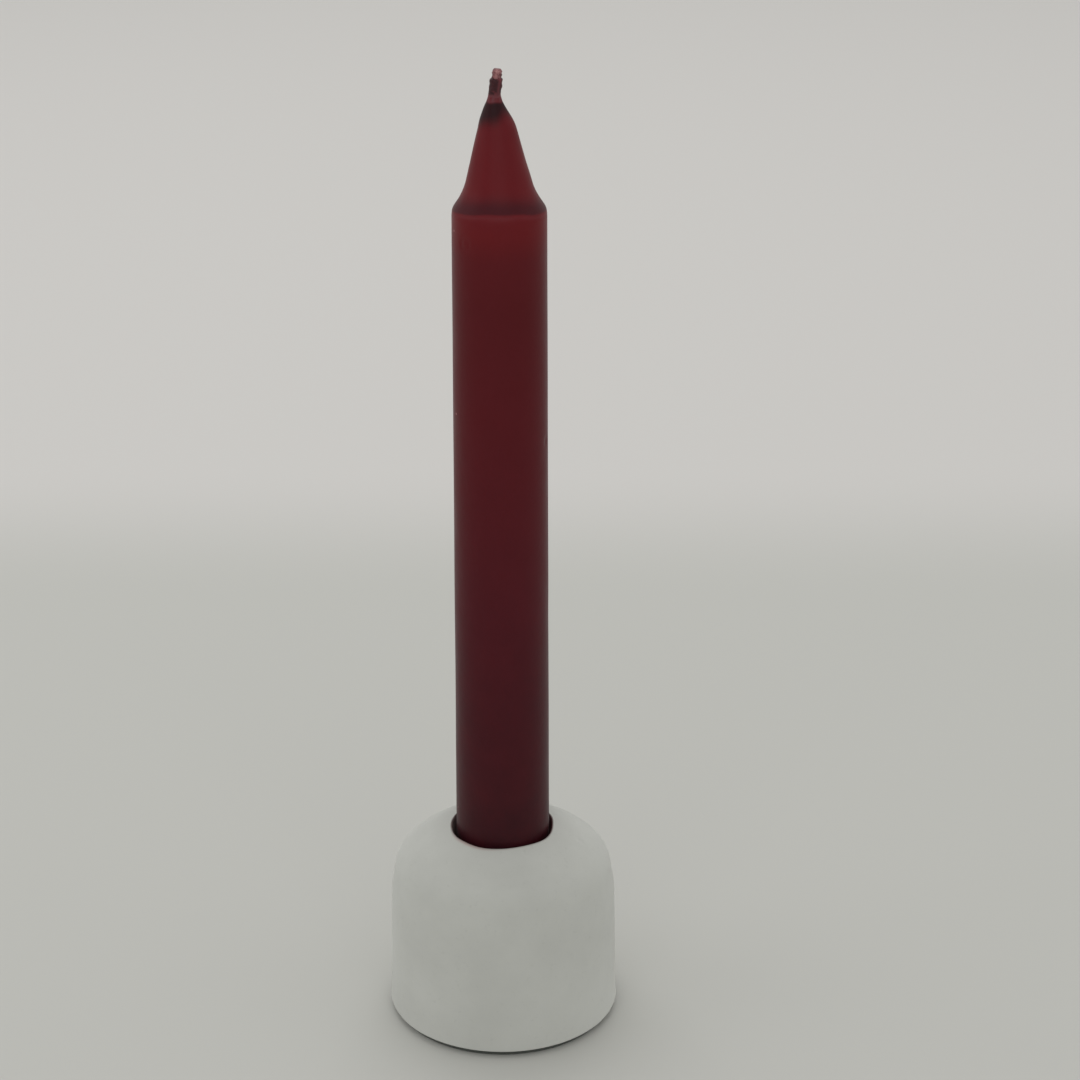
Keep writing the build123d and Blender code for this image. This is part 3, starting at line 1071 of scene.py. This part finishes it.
def pressedWax(look):
    # Undyed paraffin pressed from granules: creamy white, softly see-through, with a fine grain.
    finish, tree, shader, place = newFinish("PressedWax", look["surface"])
    granules = addNode(
        tree, "ShaderNodeTexVoronoi", {"Vector": place, "Scale": 1 / look["granule"]}, feature="F1"
    )
    colour = addNode(
        tree, "ShaderNodeMix",
        {0: granules.outputs["Distance"], 6: linear(look["pale"]), 7: linear(look["shade"])},
        data_type="RGBA",
    )
    tree.links.new(colour.outputs[2], shader.inputs["Base Color"])
    bump = addNode(
        tree, "ShaderNodeBump",
        {"Height": granules.outputs["Distance"], "Strength": 0.3, "Distance": 0.1 * mm},
    )
    tree.links.new(bump.outputs["Normal"], shader.inputs["Normal"])
    return finish


cottonFinish = {
    "soaked": "#4E1C22",
    "tint": "#7D4046",
    # the pale colours, for the bare end and for the painted highlight band
    "dull": "#84464A",
    "dry": "#CE9896",
    "soak": 0.9 * mm,
    "fibre": 0.12 * mm,  # cotton is finer than this; drawn as coarse as it needs to show
    "surface": {"Roughness": 0.6, "Sheen Weight": 0.15},
}


def waxedCotton(look):
    # Plaited cotton yarn soaked with dyed wax: dark red between the yarns, dull pink where it is worn dry
    # towards the snipped end, and a painted highlight in a band across the middle of its face.
    finish, tree, shader, place = newFinish("WaxedCotton", look["surface"])
    # the worn field holds both the bare end and the painted highlight band
    worn = addNode(tree, "ShaderNodeAttribute", attribute_name="worn").outputs["Fac"]
    soak = addNode(
        tree, "ShaderNodeTexNoise",
        {"Vector": place, "Scale": 1 / look["soak"], "Detail": 4.0, "Roughness": 0.65},
    )
    dry = addNode(
        tree, "ShaderNodeMapRange", {"Value": soak.outputs["Fac"], "From Min": 0.4, "From Max": 0.62}
    )
    low = addNode(
        tree, "ShaderNodeMix",
        {0: dry.outputs["Result"], 6: linear(look["soaked"]), 7: linear(look["tint"])}, data_type="RGBA",
    )
    high = addNode(
        tree, "ShaderNodeMix",
        {0: dry.outputs["Result"], 6: linear(look["dull"]), 7: linear(look["dry"])}, data_type="RGBA",
    )
    colour = addNode(
        tree, "ShaderNodeMix", {0: worn, 6: low.outputs[2], 7: high.outputs[2]}, data_type="RGBA"
    )
    tree.links.new(colour.outputs[2], shader.inputs["Base Color"])
    fibre = addNode(tree, "ShaderNodeTexNoise", {"Vector": place, "Scale": 1 / look["fibre"], "Detail": 2.0})
    bump = addNode(
        tree, "ShaderNodeBump", {"Height": fibre.outputs["Fac"], "Strength": 0.35, "Distance": 0.04 * mm}
    )
    tree.links.new(bump.outputs["Normal"], shader.inputs["Normal"])
    return finish


finishes = {
    holderBody: (castPlaster(plasterFinish), "holder", "holder", "cast_plaster"),
    feltPad: (pressedFelt(feltFinish), "base_pad", "holder", "pad_felt"),
    candleCoat: (dippedWax(dippedFinish), "candle_coat", "candle", "dyed_wax"),
    pressedCore: (pressedWax(coreFinish), "candle_core", "candle", "pale_wax"),
    braidedWick: (waxedCotton(cottonFinish), "wick", "candle", "wick_cotton"),
    wickCollar: (collarWax(collarFinish), "wick_wax", "candle", "dyed_wax"),
}
for piece, (finish, node, body, slot) in finishes.items():
    piece.data.materials.append(finish)
    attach(piece, body)
    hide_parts(node)
print("stage 8: finishes on")


# The studio is one wide pale floor that pales further off, under an even sky and four soft lights.
studio = {
    "halfWidth": 8.0,
    "cells": 60,
    "closeUp": 1.5,  # power by which the grid lines stand closer near the middle
    "floorColour": "#C9C9C4",
    "farColour": "#D8D6D3",
    "farFrom": 0.24,  # Y where the floor starts to turn paler
    "farTo": 0.36,
    "surface": {"Roughness": 0.9},
    "skyColour": "#F2F2F0",
    "skyStrength": 0.64,
    # place, size and watts of each light; all face the origin, under the holder
    "lights": {
        "backLight": ((-0.15, 0.9, 1.5), (1.6, 1.2), 7.0),
        "frontLight": ((0.0, -1.3, 0.9), (1.6, 1.0), 3.2),
        "leftLight": ((-1.3, -0.1, 0.8), (1.0, 1.0), 1.6),
        "rightLight": ((1.3, -0.1, 0.8), (1.0, 1.0), 0.6),
    },
}


def makeFloor(shape):
    # A flat square sheet on z = 0, whose grid lines stand at a power of t, from -1 to 1.
    count = shape["cells"] + 1
    t = np.linspace(-1, 1, count)
    line = shape["halfWidth"] * np.sign(t) * np.abs(t) ** shape["closeUp"]
    x, y = np.meshgrid(line, line)
    points = np.stack([x, y, 0 * x], axis=-1).reshape(-1, 3)
    first = (np.arange(count - 1)[:, None] * count + np.arange(count - 1)).reshape(-1)
    cells = np.stack([first, first + 1, first + count + 1, first + count], axis=1)
    return putMesh("floor", points, cells.tolist())


def palePaper(look):
    # Matt seamless paper: no gloss, a shade paler far behind the candle.
    finish, tree, shader, place = newFinish("PalePaper", look["surface"])
    away = addNode(tree, "ShaderNodeSeparateXYZ", {"Vector": place})
    far = addNode(
        tree, "ShaderNodeMapRange",
        {"Value": away.outputs["Y"], "From Min": look["farFrom"], "From Max": look["farTo"]},
        interpolation_type="SMOOTHSTEP",
    )
    colour = addNode(
        tree, "ShaderNodeMix",
        {0: far.outputs["Result"], 6: linear(look["floorColour"]), 7: linear(look["farColour"])},
        data_type="RGBA",
    )
    tree.links.new(colour.outputs[2], shader.inputs["Base Color"])
    return finish


def softLight(name, place, size, power):
    # A rectangular light that is tilted and turned to face the origin.
    lamp = bpy.data.lights.new(name, "AREA")
    lamp.shape = "RECTANGLE"
    lamp.size, lamp.size_y = size
    lamp.energy = power
    light = bpy.data.objects.new(name, lamp)
    light.location = place
    across = math.hypot(place[0], place[1])
    light.rotation_euler = (math.atan2(across, place[2]), 0, math.atan2(place[0], -place[1]))
    bpy.context.scene.collection.objects.link(light)


floor = makeFloor(studio)
floor.data.materials.append(palePaper(studio))
for name, (place, size, power) in studio["lights"].items():
    softLight(name, place, size, power)
world = bpy.data.worlds.new("softRoom")
world.use_nodes = True
sky = world.node_tree.nodes["Background"]
sky.inputs["Color"].default_value = linear(studio["skyColour"])
sky.inputs["Strength"].default_value = studio["skyStrength"]
bpy.context.scene.world = world
bpy.context.scene.view_settings.view_transform = "Standard"

# The camera looks along +Y and down, in degrees; the lens and the sensor are in millimetres.
cameraView = {"place": (0.00876, -0.5802, 0.3590), "down": 22.413, "lens": 92.59, "sensor": 36.0}
lens = bpy.data.cameras.new("camera")
lens.lens = cameraView["lens"]
lens.sensor_width = cameraView["sensor"]
lens.clip_start = 0.01
camera = bpy.data.objects.new("camera", lens)
camera.location = cameraView["place"]
camera.rotation_euler = (math.radians(90 - cameraView["down"]), 0, 0)
bpy.context.scene.collection.objects.link(camera)
bpy.context.scene.camera = camera
print("stage 9: studio set")
